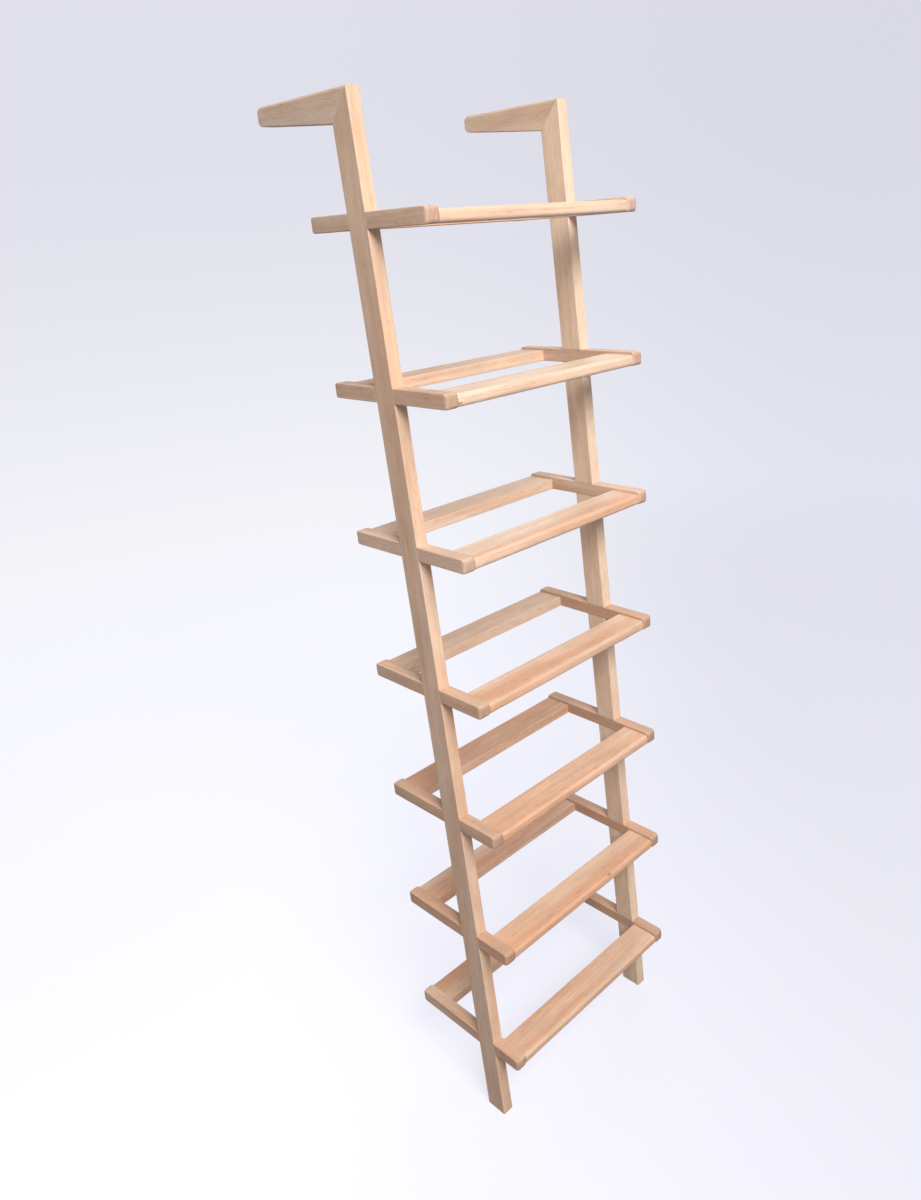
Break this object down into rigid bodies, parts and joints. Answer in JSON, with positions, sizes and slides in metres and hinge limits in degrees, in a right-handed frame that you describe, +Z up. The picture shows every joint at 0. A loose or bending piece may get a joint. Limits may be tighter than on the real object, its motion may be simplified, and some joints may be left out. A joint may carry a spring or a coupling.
{
  "type": "ladder shelf",
  "caption": "Tall open shelf of solid wood that leans on a wall: two uprights with mitred arms carry level frames of side bars and slats.",
  "frame": {"origin": "on the floor, at the centre of the overall width and depth", "axes": "+X to the right seen from the front, +Y towards the wall, +Z up"},
  "size_m": [0.414, 0.351, 1.7],
  "materials": {
    "upright_pine": "sanded, clear matt",
    "arm_pine": "sanded, clear matt",
    "bar_pine": "sanded, clear matt",
    "slat_pine": "sanded, clear matt",
    "dowel_beech": "raw, fluted"
  },
  "bodies": {
    "root": {"left_upright": "upright_pine", "left_wall_arm": "arm_pine", "right_upright": "upright_pine", "right_wall_arm": "arm_pine", "shelf_1_left_bar": "bar_pine", "shelf_1_right_bar": "bar_pine", "shelf_1_front_slat": "slat_pine", "shelf_1_back_slat": "slat_pine", "shelf_2_left_bar": "bar_pine", "shelf_2_right_bar": "bar_pine", "shelf_2_front_slat": "slat_pine", "shelf_2_back_slat": "slat_pine", "shelf_3_left_bar": "bar_pine", "shelf_3_right_bar": "bar_pine", "shelf_3_front_slat": "slat_pine", "shelf_3_back_slat": "slat_pine", "shelf_4_left_bar": "bar_pine", "shelf_4_right_bar": "bar_pine", "shelf_4_front_slat": "slat_pine", "shelf_4_back_slat": "slat_pine", "shelf_5_left_bar": "bar_pine", "shelf_5_right_bar": "bar_pine", "shelf_5_front_slat": "slat_pine", "shelf_5_back_slat": "slat_pine", "shelf_6_left_bar": "bar_pine", "shelf_6_right_bar": "bar_pine", "shelf_6_front_slat": "slat_pine", "shelf_6_back_slat": "slat_pine", "shelf_7_left_bar": "bar_pine", "shelf_7_right_bar": "bar_pine", "shelf_7_front_slat": "slat_pine", "shelf_7_back_slat": "slat_pine", "slat_dowels": "dowel_beech", "mitre_dowels": "dowel_beech"}
  },
  "joints": []
}
